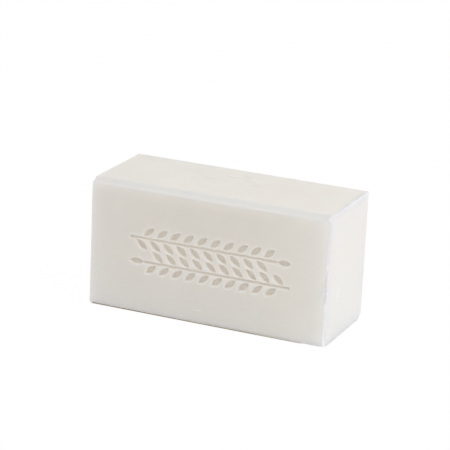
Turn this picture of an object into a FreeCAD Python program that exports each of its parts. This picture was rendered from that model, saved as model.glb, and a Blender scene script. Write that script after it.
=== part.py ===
"""A bar of soap: one block, pressed smooth on its long sides and cut flat at both ends.

Frame: X runs along the bar towards the end whose foot is worn round, -Y is the stamped front
face, +Z is up, and the origin is the middle of the footprint on the table. All in millimetres.
"""

import FreeCAD, Part
import math
import os
import Sketcher

# Each size of the bar: its name, its value and what it measures.
SIZES = [
    ("bar_length", 80.0, "cut end to cut end"),
    ("bar_height", 41.8, "table to top face"),
    ("bar_depth", 32.4, "stamped front to plain back"),
    ("front_top_run", 2.2, "top bevel of the front, as seen from above"),
    ("front_top_drop", 1.12, "top bevel of the front, as seen from the front"),
    ("front_top_blend", 0.9, "radius where that bevel meets the top and the front"),
    ("front_foot_run", 4.0, "foot bevel of the front, inwards"),
    ("front_foot_rise", 0.45, "foot bevel of the front, upwards"),
    ("front_foot_blend", 0.5, "radius where that bevel meets the front"),
    ("back_foot_run", 3.6, "foot bevel of the back, inwards"),
    ("back_foot_rise", 1.5, "foot bevel of the back, upwards"),
    ("back_foot_blend", 2.0, "radius where that bevel meets the back"),
    ("back_top_blend", 0.4, "radius of the crisp edge between top and back"),
    ("worn_foot_radius", 0.5, "radius along the foot of the worn end"),
    ("worn_back_radius", 0.5, "radius up the back edge of the worn end"),
    ("stamp_shift_along", 0.8, "middle of the stamp, from the middle of the front"),
    ("stamp_shift_up", 0.15, "middle of the stamp, above the middle of the front"),
    ("stamp_draft", 18.0, "slope of the stamped walls, degrees"),
    ("row_pitch", 7.7, "between the stems of the two sprigs"),
    ("stem_length", 49.4, "stem of a sprig, without its end leaf"),
    ("stem_width", 0.9, "stem groove, at the face"),
    ("stem_depth", 0.5, "stem groove, into the face"),
    ("leaf_length", 4.5, "leaf, point to point"),
    ("leaf_width", 2.0, "leaf, across its middle"),
    ("leaf_depth", 0.75, "leaf, into the face"),
    ("leaf_angle", 40.0, "leaf against its stem, degrees"),
    ("leaf_gap", 0.7, "point of a leaf, from the middle of the stem"),
    ("leaf_spacing", 4.5, "from one leaf to the next on the same side"),
    ("leaf_start", 2.2, "first leaf below the stem, from the foot of the stem"),
    ("leaf_stagger", 2.25, "first leaf above the stem, from the first one below it"),
    ("leaf_count", 10, "leaves on each side of a stem"),
]

# Formulas of those sizes that more than one outline follows.
HALF_SPRIG = "(Sizes.stem_length + Sizes.leaf_length) / 2"
STEM_HEIGHT = "Sizes.row_pitch / 2"
LEAF_RADIUS = "(Sizes.leaf_length ^ 2 + Sizes.leaf_width ^ 2) / (4 * Sizes.leaf_width)"
LEAF_REACH = "Sizes.leaf_length * cos(Sizes.leaf_angle * 1deg)"
LEAF_RISE = "Sizes.leaf_length * sin(Sizes.leaf_angle * 1deg)"

# A sketch's own origin and x axis, and the points of a line or arc, as constraints name them.
ORIGIN = (-1, 1)
X_AXIS = -1
START, END, CENTRE = 1, 2, 3

SAME_PLACE = 1e-4
OUTWARDS = FreeCAD.Vector(0, 0, 1)


def write_sizes(doc):
    """The sheet of sizes, with each value under its own name."""
    sheet = doc.addObject("Spreadsheet::Sheet", "Sizes")
    for row, (name, value, meaning) in enumerate(SIZES, start=1):
        sheet.set(f"A{row}", name)
        sheet.set(f"B{row}", str(value))
        sheet.set(f"C{row}", meaning)
        sheet.setAlias(f"B{row}", name)
    doc.recompute()
    return sheet


def worth(formula):
    """What a formula of the sizes comes to."""
    return float(sheet.evalExpression(formula))


def sketch_on(body, role, name, **moved):
    """A sketch on one of the body's origin planes, moved along its x, y or z by formulas."""
    sketch = body.newObject("Sketcher::SketchObject", name)
    plane = next(f for f in body.Origin.OriginFeatures if f.Role == role)
    sketch.AttachmentSupport = (plane, [""])
    sketch.MapMode = "FlatFace"
    for axis, formula in moved.items():
        sketch.setExpression(f"AttachmentOffset.Base.{axis}", formula)
    return sketch


def line(sketch, begin, end):
    """A straight edge of a sketch."""
    return sketch.addGeometry(Part.LineSegment(FreeCAD.Vector(*begin, 0), FreeCAD.Vector(*end, 0)))


def arc(sketch, centre, radius, begin, turn):
    """A round edge of a sketch, from the angle where it begins, anticlockwise."""
    circle = Part.Circle(FreeCAD.Vector(*centre, 0), OUTWARDS, radius)
    return sketch.addGeometry(Part.ArcOfCircle(circle, begin, begin + turn))


def tie(sketch, kind, *ends):
    """A relation between points or edges, such as Coincident."""
    sketch.addConstraint(Sketcher.Constraint(kind, *ends))


def bind(sketch, formula, kind, *ends):
    """A dimension that follows a formula of the sizes."""
    index = sketch.addConstraint(Sketcher.Constraint(kind, *ends, worth(formula)))
    sketch.setExpression(f"Constraints[{index}]", formula)


def tie_ends(sketch, edges):
    """Each edge ends where the next one starts, and the last where the first one starts."""
    for edge, following in zip(edges, edges[1:] + edges[:1]):
        tie(sketch, "Coincident", edge, END, following, START)


def draw_section(body):
    """The bar's section: upright, with a bevel along the front's top and along both feet."""
    sketch = sketch_on(body, "YZ_Plane", "Section")
    back = worth("Sizes.bar_depth / 2")
    front = -back
    top = worth("Sizes.bar_height")
    corners = [
        (front + worth("Sizes.front_foot_run"), 0),
        (back - worth("Sizes.back_foot_run"), 0),
        (back, worth("Sizes.back_foot_rise")),
        (back, top),
        (front + worth("Sizes.front_top_run"), top),
        (front, top - worth("Sizes.front_top_drop")),
        (front, worth("Sizes.front_foot_rise")),
    ]
    edges = [line(sketch, *ends) for ends in zip(corners, corners[1:] + corners[:1])]
    foot, back_foot, back_side, top_side, front_top, front_side, front_foot = edges
    tie_ends(sketch, edges)
    for level in (foot, top_side):
        tie(sketch, "Horizontal", level)
    for upright in (back_side, front_side):
        tie(sketch, "Vertical", upright)
    tie(sketch, "PointOnObject", foot, START, X_AXIS)
    bind(sketch, "Sizes.bar_depth / 2", "DistanceX", *ORIGIN, back_side, END)
    bind(sketch, "Sizes.bar_depth", "DistanceX", front_side, START, back_side, END)
    bind(sketch, "Sizes.bar_height", "DistanceY", foot, START, top_side, START)
    bind(sketch, "Sizes.front_foot_run", "DistanceX", front_foot, START, front_foot, END)
    bind(sketch, "Sizes.front_foot_rise", "DistanceY", front_foot, END, front_foot, START)
    bind(sketch, "Sizes.back_foot_run", "DistanceX", back_foot, START, back_foot, END)
    bind(sketch, "Sizes.back_foot_rise", "DistanceY", back_foot, START, back_foot, END)
    bind(sketch, "Sizes.front_top_run", "DistanceX", front_top, END, front_top, START)
    bind(sketch, "Sizes.front_top_drop", "DistanceY", front_top, END, front_top, START)
    return sketch


def draw_worn_foot(body):
    """What is worn off the foot of one end: the corner outside a quarter circle."""
    sketch = sketch_on(body, "XZ_Plane", "WornFootOutline")
    end = worth("Sizes.bar_length / 2")
    radius = worth("Sizes.worn_foot_radius")
    foot = line(sketch, (end - radius, 0), (end, 0))
    side = line(sketch, (end, 0), (end, radius))
    round_foot = arc(sketch, (end - radius, radius), radius, -math.pi / 2, math.pi / 2)
    tie(sketch, "Coincident", foot, END, side, START)
    tie(sketch, "Tangent", round_foot, START, foot, START)
    tie(sketch, "Tangent", round_foot, END, side, END)
    tie(sketch, "Horizontal", foot)
    tie(sketch, "Vertical", side)
    tie(sketch, "PointOnObject", foot, START, X_AXIS)
    bind(sketch, "Sizes.bar_length / 2", "DistanceX", *ORIGIN, side, START)
    bind(sketch, "Sizes.worn_foot_radius", "Radius", round_foot)
    return sketch


def stamp_sketch(body, name):
    """A sketch on the front face, with its origin in the middle of the stamp."""
    return sketch_on(
        body,
        "XZ_Plane",
        name,
        x="Sizes.stamp_shift_along",
        y="Sizes.bar_height / 2 + Sizes.stamp_shift_up",
        z="Sizes.bar_depth / 2",
    )


def draw_stem(body):
    """The groove of the upper stem: a slot with round ends."""
    sketch = stamp_sketch(body, "StemOutline")
    height = worth(STEM_HEIGHT)
    radius = worth("Sizes.stem_width / 2")
    left = -worth(HALF_SPRIG) + radius
    right = left + worth("Sizes.stem_length") - 2 * radius
    lower = line(sketch, (left, height - radius), (right, height - radius))
    right_end = arc(sketch, (right, height), radius, -math.pi / 2, math.pi)
    upper = line(sketch, (right, height + radius), (left, height + radius))
    left_end = arc(sketch, (left, height), radius, math.pi / 2, math.pi)
    tie(sketch, "Tangent", lower, END, right_end, START)
    tie(sketch, "Tangent", right_end, END, upper, START)
    tie(sketch, "Tangent", upper, END, left_end, START)
    tie(sketch, "Tangent", left_end, END, lower, START)
    tie(sketch, "Horizontal", lower)
    bind(sketch, "Sizes.stem_width / 2", "Radius", left_end)
    bind(sketch, f"{HALF_SPRIG} - Sizes.stem_width / 2", "DistanceX", left_end, CENTRE, *ORIGIN)
    bind(sketch, "Sizes.stem_length - Sizes.stem_width", "DistanceX", left_end, CENTRE, right_end, CENTRE)
    bind(sketch, STEM_HEIGHT, "DistanceY", *ORIGIN, left_end, CENTRE)
    return sketch


def draw_leaf(sketch, foot, tip):
    """A leaf's outline: two equal arcs from its foot to its tip. Returns the arc that starts at the foot."""
    radius = worth(LEAF_RADIUS)
    along = (tip[0] - foot[0], tip[1] - foot[1])
    half_turn = math.asin(math.hypot(*along) / 2 / radius)
    inset = math.cos(half_turn) / math.sin(half_turn) / 2
    middle = ((foot[0] + tip[0]) / 2, (foot[1] + tip[1]) / 2)
    sides = []
    for begin, hand in ((foot, 1), (tip, -1)):
        centre = (middle[0] - hand * along[1] * inset, middle[1] + hand * along[0] * inset)
        start_angle = math.atan2(begin[1] - centre[1], begin[0] - centre[0])
        sides.append(arc(sketch, centre, radius, start_angle, 2 * half_turn))
    tie_ends(sketch, sides)
    for side in sides:
        bind(sketch, LEAF_RADIUS, "Radius", side)
    return sides[0]


def draw_side_leaf(body, name, start, above):
    """The first leaf above or below the upper stem, whose foot is that far along the stem."""
    sketch = stamp_sketch(body, name)
    hand = 1 if above else -1
    foot = (worth(f"{start} - {HALF_SPRIG}"), worth(STEM_HEIGHT) + hand * worth("Sizes.leaf_gap"))
    tip = (foot[0] + worth(LEAF_REACH), foot[1] + hand * worth(LEAF_RISE))
    leaf = draw_leaf(sketch, foot, tip)
    low, high = (START, END) if above else (END, START)
    bind(sketch, f"{HALF_SPRIG} - ({start})", "DistanceX", leaf, START, *ORIGIN)
    bind(sketch, f"{STEM_HEIGHT} {'+' if above else '-'} Sizes.leaf_gap", "DistanceY", *ORIGIN, leaf, START)
    bind(sketch, LEAF_REACH, "DistanceX", leaf, START, leaf, END)
    bind(sketch, LEAF_RISE, "DistanceY", leaf, low, leaf, high)
    return sketch


def draw_end_leaf(body):
    """The leaf that carries the upper stem on."""
    sketch = stamp_sketch(body, "EndLeafOutline")
    foot = (worth(f"Sizes.stem_length - {HALF_SPRIG}"), worth(STEM_HEIGHT))
    leaf = draw_leaf(sketch, foot, (foot[0] + worth("Sizes.leaf_length"), foot[1]))
    tie(sketch, "Horizontal", leaf, START, leaf, END)
    bind(sketch, HALF_SPRIG, "DistanceX", *ORIGIN, leaf, END)
    bind(sketch, STEM_HEIGHT, "DistanceY", *ORIGIN, leaf, START)
    bind(sketch, "Sizes.leaf_length", "DistanceX", leaf, START, leaf, END)
    return sketch


def edges_of(feature, fits):
    """Names of the feature's edges whose every end fits."""
    edges = enumerate(feature.Shape.Edges, start=1)
    return [f"Edge{number}" for number, edge in edges if all(fits(v.Point) for v in edge.Vertexes)]


def corner_along(feature, y, z):
    """The edges that run along the bar at this y and z."""
    return edges_of(feature, lambda p: math.hypot(p.y - y, p.z - z) < SAME_PLACE)


def corner_up(feature, x, y):
    """The edges that run up the bar at this x and y."""
    return edges_of(feature, lambda p: math.hypot(p.x - x, p.y - y) < SAME_PLACE)


def round_off(body, name, edges, radius):
    """A fillet on those edges of the body as it is."""
    fillet = body.newObject("PartDesign::Fillet", name)
    fillet.Base = (fillet.BaseFeature, edges)
    fillet.setExpression("Radius", radius)
    doc.recompute()
    return fillet


def cut(body, name, sketch, **settings):
    """A pocket of that outline, which has to take something off the body."""
    before = body.Shape.Volume
    pocket = body.newObject("PartDesign::Pocket", name)
    pocket.Profile = sketch
    for setting, worded in settings.items():
        if setting in ("Length", "TaperAngle"):
            pocket.setExpression(setting, worded)
        else:
            setattr(pocket, setting, worded)
    doc.recompute()
    if not pocket.Shape.Volume < before:
        raise RuntimeError(f"{name} takes nothing off the bar")
    return pocket


def press(body, name, sketch, depth):
    """An impression in the front face, narrower at its floor."""
    return cut(body, name, sketch, Length=depth, TaperAngle="-Sizes.stamp_draft")


def turn_about_stamp(body, name, sketch):
    """A copy turned half a turn about the middle of the stamp."""
    turned = body.newObject("PartDesign::PolarPattern", name)
    turned.Axis = (sketch, ["N_Axis"])
    turned.Angle = 360
    turned.Occurrences = 2
    return turned


def shape_block(body):
    """The plain bar, with its bevels, its blends and its worn end."""
    block = body.newObject("PartDesign::Pad", "Block")
    block.Profile = draw_section(body)
    block.SideType = "Symmetric"
    block.setExpression("Length", "Sizes.bar_length")
    doc.recompute()
    end = worth("Sizes.bar_length / 2")
    back = worth("Sizes.bar_depth / 2")
    front = -back
    top = worth("Sizes.bar_height")
    back_foot = corner_along(block, back, worth("Sizes.back_foot_rise"))
    shaped = round_off(body, "BackFoot", back_foot, "Sizes.back_foot_blend")
    front_foot = corner_along(shaped, front, worth("Sizes.front_foot_rise"))
    shaped = round_off(body, "FrontFoot", front_foot, "Sizes.front_foot_blend")
    worn_back = corner_up(shaped, end, back)
    shaped = round_off(body, "WornBack", worn_back, "Sizes.worn_back_radius")
    under_bevel = corner_along(shaped, front, top - worth("Sizes.front_top_drop"))
    over_bevel = corner_along(shaped, front + worth("Sizes.front_top_run"), top)
    shaped = round_off(body, "FrontTop", under_bevel + over_bevel, "Sizes.front_top_blend")
    back_top = corner_along(shaped, back, top)
    round_off(body, "BackTop", back_top, "Sizes.back_top_blend")
    cut(body, "WornFoot", draw_worn_foot(body), Type="ThroughAll", SideType="Symmetric")


def stamp_front(body):
    """Two leaf sprigs pressed into the front, the lower one the upper one turned round."""
    stem = press(body, "Stem", draw_stem(body), "Sizes.stem_depth")
    end_leaf = press(body, "EndLeaf", draw_end_leaf(body), "Sizes.leaf_depth")
    lower_stem = turn_about_stamp(body, "LowerStem", stem.Profile[0])
    lower_stem.Originals = [stem, end_leaf]
    body.Tip = lower_stem
    doc.recompute()
    below = draw_side_leaf(body, "LeafBelowOutline", "Sizes.leaf_start", above=False)
    above = draw_side_leaf(body, "LeafAboveOutline", "Sizes.leaf_start + Sizes.leaf_stagger", above=True)
    first_leaves = [
        press(body, "LeafBelow", below, "Sizes.leaf_depth"),
        press(body, "LeafAbove", above, "Sizes.leaf_depth"),
    ]
    leaves = body.newObject("PartDesign::MultiTransform", "Leaves")
    leaves.Originals = first_leaves
    along_stem = body.newObject("PartDesign::LinearPattern", "AlongStem")
    along_stem.Direction = (above, ["H_Axis"])
    along_stem.Mode = "Spacing"
    along_stem.setExpression("Offset", "Sizes.leaf_spacing")
    along_stem.setExpression("Occurrences", "Sizes.leaf_count")
    leaves.Transformations = [along_stem, turn_about_stamp(body, "LowerLeaves", above)]
    body.Tip = leaves
    doc.recompute()


def check_model():
    """Every step of the model has worked, and each piece is one sound solid."""
    failed = [o.Name for o in doc.Objects if {"Invalid", "Error"} & set(o.State)]
    if failed:
        raise RuntimeError(f"failed: {', '.join(failed)}")
    for piece in pieces:
        if piece.Shape.isNull() or not piece.Shape.isValid() or len(piece.Shape.Solids) != 1:
            raise RuntimeError(f"{piece.Label} is not one sound solid")


doc = FreeCAD.newDocument("BarOfSoap")
sheet = write_sizes(doc)

soap_bar = doc.addObject("PartDesign::Body", "SoapBar")
soap_bar.Label = "soap_bar"
soap_bar.Placement = FreeCAD.Placement()
shape_block(soap_bar)
stamp_front(soap_bar)

pieces = [soap_bar]
check_model()

os.makedirs("parts", exist_ok=True)
for piece in pieces:
    piece.Shape.exportStep(f"parts/{piece.Label}.step")
    print(piece.Label, round(piece.Shape.Volume / 1000, 2), "cubic centimetres")
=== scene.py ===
"""A cut bar of soap with two leaf sprigs pressed into its front, on a pale studio floor.

The bar is one closed surface: the section across it, carried along its length and
rolled in over both ends. Everything is in metres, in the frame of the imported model.
"""

import math

import bpy
import numpy as np
from mathutils import Matrix, Vector


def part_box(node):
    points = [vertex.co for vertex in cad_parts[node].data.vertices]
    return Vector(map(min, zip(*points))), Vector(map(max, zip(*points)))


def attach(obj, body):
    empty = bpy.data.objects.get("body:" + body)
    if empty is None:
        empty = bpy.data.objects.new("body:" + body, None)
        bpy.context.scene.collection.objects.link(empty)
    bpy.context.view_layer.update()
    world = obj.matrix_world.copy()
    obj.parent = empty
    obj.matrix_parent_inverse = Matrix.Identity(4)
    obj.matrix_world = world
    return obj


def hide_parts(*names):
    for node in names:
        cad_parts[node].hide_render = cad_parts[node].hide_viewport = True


bl_info = {
    "name": "Bar of Soap",
    "version": (1, 0, 0),
    "blender": (4, 5, 0),
    "location": "3D View > Sidebar > Soap",
    "description": "A cut bar of soap with leaf sprigs pressed into its front, and its studio",
    "category": "Add Mesh",
}

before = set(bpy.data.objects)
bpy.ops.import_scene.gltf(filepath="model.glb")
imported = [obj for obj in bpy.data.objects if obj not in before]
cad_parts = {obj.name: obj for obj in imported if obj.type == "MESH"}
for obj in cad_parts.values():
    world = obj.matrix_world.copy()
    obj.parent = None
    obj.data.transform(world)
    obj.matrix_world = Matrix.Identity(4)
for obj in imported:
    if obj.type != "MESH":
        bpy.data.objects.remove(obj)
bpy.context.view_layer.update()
BAR_LOW, BAR_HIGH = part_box("soap_bar")


def length_property(name, description, default):
    """A length in metres that a user may change, with a sensible range around it."""
    return bpy.props.FloatProperty(
        name=name,
        description=description,
        default=default,
        min=0.0,
        max=1.0,
        precision=5,
        unit="LENGTH",
        subtype="DISTANCE",
    )


def colour_property(name, description, default):
    """A colour in linear red, green and blue."""
    return bpy.props.FloatVectorProperty(
        name=name,
        description=description,
        default=default,
        min=0.0,
        max=1.0,
        size=3,
        subtype="COLOR",
    )


def angle_property(name, description, degrees, least=-180.0, most=180.0):
    """An angle, given in degrees and kept in radians."""
    return bpy.props.FloatProperty(
        name=name,
        description=description,
        default=math.radians(degrees),
        min=math.radians(least),
        max=math.radians(most),
        subtype="ANGLE",
        unit="ROTATION",
    )


def level_property(name, description, default, least=0.0):
    """A plain number, such as the power of a lamp."""
    return bpy.props.FloatProperty(name=name, description=description, default=default, min=least)


class SoapBarSizes(bpy.types.PropertyGroup):
    """Sizes of the block and of its worn edges."""

    length: length_property("Length", "Between the two cut ends", BAR_HIGH.x - BAR_LOW.x)
    depth: length_property("Depth", "From the front to the back", BAR_HIGH.y - BAR_LOW.y)
    height: length_property("Height", "From the foot to the top", BAR_HIGH.z - BAR_LOW.z)
    front_top_run: length_property("Front top run", "How far the bevel reaches back over the top", 0.0022)
    front_top_drop: length_property("Front top drop", "How far the bevel reaches down the front", 0.00112)
    front_top_blend: length_property("Front top blend", "Radius along both edges of the bevel", 0.0009)
    front_foot_run: length_property("Front foot run", "How far the front foot is relieved", 0.004)
    front_foot_rise: length_property("Front foot rise", "Height of the front foot above the floor", 0.00055)
    front_foot_blend: length_property("Front foot blend", "Radius of the front foot", 0.0004)
    back_foot_run: length_property("Back foot run", "How far the back foot is relieved", 0.0036)
    back_foot_rise: length_property("Back foot rise", "Height of the back foot above the floor", 0.0015)
    back_foot_blend: length_property("Back foot blend", "Radius of the back foot", 0.002)
    back_top_blend: length_property("Back top blend", "Radius of the edge between top and back", 0.0002)
    worn_foot_radius: length_property("Worn foot radius", "Radius of the worn foot at the right end", 0.0005)
    worn_back_radius: length_property("Worn back radius", "Radius of the right end's back edge", 0.0005)
    left_end_radius: length_property("Left end radius", "Radius round the edge of the left end", 0.0003)
    cell: length_property("Cell", "Size of a mesh cell away from the edges", 0.0008)


class LeafStampSizes(bpy.types.PropertyGroup):
    """Sizes of the two sprigs pressed into the front."""

    shift_along: length_property("Shift along", "Stamp's middle from the bar's middle", 0.0008)
    shift_up: length_property("Shift up", "Stamp's middle above the bar's middle", 0.00015)
    row_pitch: length_property("Row pitch", "Height from one stem to the other", 0.0077)
    stem_length: length_property("Stem length", "Length of a stem with its round ends", 0.0494)
    stem_width: length_property("Stem width", "Width of a stem at the face", 0.0009)
    stem_depth: length_property("Stem depth", "Depth of a stem", 0.0005)
    leaf_length: length_property("Leaf length", "From the foot of a leaf to its tip", 0.0045)
    leaf_width: length_property("Leaf width", "Across the middle of a leaf", 0.002)
    leaf_depth: length_property("Leaf depth", "Depth of a leaf", 0.00075)
    leaf_gap: length_property("Leaf gap", "From the middle of a stem to the foot of a leaf", 0.0007)
    leaf_spacing: length_property("Leaf spacing", "From leaf to leaf along a stem", 0.0045)
    leaf_start: length_property("Leaf start", "From the stem's end to the first leaf", 0.0022)
    leaf_stagger: length_property("Leaf stagger", "How far the leaves above stand on from those below", 0.00225)
    leaf_angle: angle_property("Leaf angle", "Between a leaf and its stem", 40.0, 0.0, 90.0)
    leaf_count: bpy.props.IntProperty(
        name="Leaves a side", description="Leaves on each side of a stem", default=10, min=1, max=40
    )


class SoapFinish(bpy.types.PropertyGroup):
    """Colours of the soap, and of the light and shade painted on it."""

    soap: colour_property("Soap", "The soap itself", (0.768, 0.733, 0.677))
    pale: colour_property("Pale", "Soap near the ends, where light comes through", (0.815, 0.812, 0.808))
    # Painted light: the edges tinted cooler and a little darker.
    edge: colour_property("Edge", "Tint of the thin soap along an edge", (0.912, 0.928, 0.972))
    # Painted shade and reflection: the bevel's greyer colour.
    bevel: colour_property("Bevel", "The smooth bevel along the front's top edge", (0.687, 0.683, 0.671))
    # Painted shade: the warmer, darker colour of the impressions' floors.
    pressed: colour_property("Pressed", "The floor of an impression", (0.775, 0.722, 0.645))
    burr: colour_property("Burr", "Dry crumbs along the cut end", (0.620, 0.610, 0.650))
    # Painted shade: greyer and darker towards the bottom.
    low: colour_property("Low", "Soap of the lowest centimetre, a little greyer", (0.755, 0.752, 0.735))
    # The cut end's own paler colour, which also carries painted cool light.
    cut: colour_property("Cut", "The freshly cut right end", (0.807, 0.793, 0.777))
    # Painted shade: a cool grey tint beside the cut end and along the back edge of the top.
    grey_shade: colour_property("Dull", "Tint of the dragged soap beside a cut edge", (0.80, 0.805, 0.825))
    shaving: colour_property("Shaving", "Thin shavings and flakes at the cut edges", (0.738, 0.741, 0.760))
    # Painted shade: the dark colour in the crack behind the burr, under the top edge, below the flake and along the
    # front foot.
    dark_shade: colour_property("Crack", "Bottom of the crack behind the burr", (0.50, 0.45, 0.38))
    streak: colour_property("Streak", "Drawn-out streaks on the top", (0.68, 0.625, 0.55))


class SoapStage(bpy.types.PropertyGroup):
    """Camera, lamps and floor."""

    azimuth: angle_property("Camera azimuth", "Turn from the front towards the right end", 23.163)
    elevation: angle_property("Camera elevation", "Height angle of the camera", 17.60)
    roll: angle_property("Camera roll", "Tilt of the camera about its own axis", 2.624)
    distance: length_property("Camera distance", "From the camera to the point it looks at", 0.65953)
    aim: bpy.props.FloatVectorProperty(
        name="Camera aim",
        description="Point that the camera looks at",
        default=(-0.004303, 0.007023, 0.02585),
        size=3,
        subtype="TRANSLATION",
        unit="LENGTH",
    )
    lens: level_property("Camera lens", "Focal length in millimetres", 166.33, 1.0)
    floor_width: length_property("Floor width", "Side of the square floor", 0.9)
    floor: colour_property("Floor", "Pale floor", (0.90, 0.90, 0.90))
    key_power: level_property("Key power", "Power of the soft key lamp in watts", 4.04)
    fill_power: level_property("Fill power", "Power of the soft front lamp in watts", 0.5)
    world_strength: level_property("Room light", "Strength of the even room light", 0.76)


# Measures of the skin, in metres.
FOOT_TURN_RADIUS = 0.0008  # of the two slight turns between the foot's flat and its relief
SKIN_SINK = 0.000012  # keeps every wave of the skin inside the solid
FOLD_LOW, FOLD_HIGH = 0.0125, 0.0265  # heights between which the burr is folded over the front
END_BAND = 0.003  # stretch beside an end in which the stations draw up to its edge
PRESS_OUTSIDE, PRESS_INSIDE = 0.00022, 0.00040  # how far the stamp's slope lies about its outline
ARC_CELL, LEFT_CELL, RIGHT_CELL = 0.00022, 0.00018, 0.00011  # fine cells: arcs and both ends
DIVIDED_REACH = 0.0022  # stretch before the right end whose cells are divided
DIVIDED_CELLS, STAMP_CELLS = 4, 5  # parts of a cell there, and in the stamp's patch
END_DIMPLE = 0.00005  # depth of the middle of an end face
LATTICE = 96  # random heights each way

# Rings of the end faces, as shares of the way from the edge to the middle.
LEFT_RINGS = (0.0, 0.008, 0.02, 0.038, 0.062, 0.095, 0.14, 0.2, 0.28, 0.37, 0.47, 0.58, 0.7, 0.83)
RIGHT_RINGS = (0.0, 0.006, 0.012, 0.018, 0.024, 0.03, 0.037, 0.045, 0.054, 0.064, 0.076, 0.09, 0.108, 0.13)
RIGHT_INNER_RINGS = (0.165, 0.21, 0.27, 0.34, 0.42, 0.51, 0.61, 0.72, 0.84)

# Tints by which a colour is multiplied.
CLOUD_DARK, CLOUD_LIGHT, CLOUD_ROSY = (0.985,) * 3, (1.012,) * 3, (1.012, 0.995, 0.985)
CRUMB_DARK, CRUMB_LIGHT = (0.94,) * 3, (1.07,) * 3
# Painted light cools the whole top, and painted shade greys the lower part of the right end.
TOP_WARM, TOP_COOL_LIGHT, END_LOW_SHADE = (1.001, 0.992, 0.989), (0.985, 0.992, 1.0), (0.965, 0.976, 0.978)
RIGHT_GLOW, LIT_SOAP = (1.032, 1.029, 1.020), (1.125, 1.127, 1.130)
BRUSHED, GRAINY = (0.989,) * 3, (0.982,) * 3

# Light marks on the front: their colour, and the X and Z of each speck.
LIGHT_MARK = (0.9, 0.9, 0.89)
SPECKS = ((0.0135, 0.0088), (0.0315, 0.0051), (0.0343, 0.0025), (0.0247, 0.0302), (-0.0389, 0.0171))

WHITE = (1.0, 1.0, 1.0)
FLOOR_LEVEL = -0.00002
# Painted shadow on the floor under the bar, seen by the camera: brown at the left, lighter to the right and at the
# back.
SHADOW_LEFT, SHADOW_RIGHT, SHADOW_BACK = (0.21, 0.135, 0.045), (0.50, 0.44, 0.35), (0.50, 0.46, 0.41)
KEY_WAY, KEY_DISTANCE, KEY_WIDTH = (0.66, -0.115, 0.745), 1.0, 0.55
FILL_WAY, FILL_DISTANCE, FILL_WIDTH = (-0.25, -0.9, 0.35), 1.2, 0.9


def ease(t):
    """Smooth step: 3 t squared less 2 t cubed, with t held between 0 and 1."""
    t = np.clip(t, 0.0, 1.0)
    return t * t * (3.0 - 2.0 * t)


def bell(value, middle, width):
    """1 where the value is at the middle, falling to 1/e at this width on both sides."""
    return np.exp(-(((value - middle) / width) ** 2))


def crumble(along, across, cell, seed):
    """Soft noise from -1 to 1: seeded random heights on a square lattice of this cell,
    joined by eased steps in both directions."""
    heights = np.random.default_rng(seed).uniform(-1.0, 1.0, (LATTICE, LATTICE))
    along, across = np.broadcast_arrays(along / cell, across / cell)
    i, j = np.floor(along).astype(int), np.floor(across).astype(int)
    f, g = ease(along - i), ease(across - j)
    i, i_next, j, j_next = i % LATTICE, (i + 1) % LATTICE, j % LATTICE, (j + 1) % LATTICE
    near = heights[i, j] * (1.0 - f) + heights[i_next, j] * f
    far = heights[i, j_next] * (1.0 - f) + heights[i_next, j_next] * f
    return near * (1.0 - g) + far * g


def graded(length, zones, widest, growth=0.3):
    """Places from 0 to length. The step is the least of the widest one and, for each
    (start, end, step) zone, its step plus growth times the distance to the zone. The
    inverse of the step is added up and cut into equal parts."""
    s = np.linspace(0.0, length, 30001)
    step = np.full_like(s, widest)
    for start, end, fine in zones:
        step = np.minimum(step, fine + growth * np.maximum(np.maximum(start - s, s - end), 0.0))
    run = np.concatenate(([0.0], np.cumsum(0.5 * (1.0 / step[1:] + 1.0 / step[:-1]) * np.diff(s))))
    return np.interp(np.linspace(0.0, run[-1], math.ceil(run[-1]) + 1), run, s)


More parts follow.
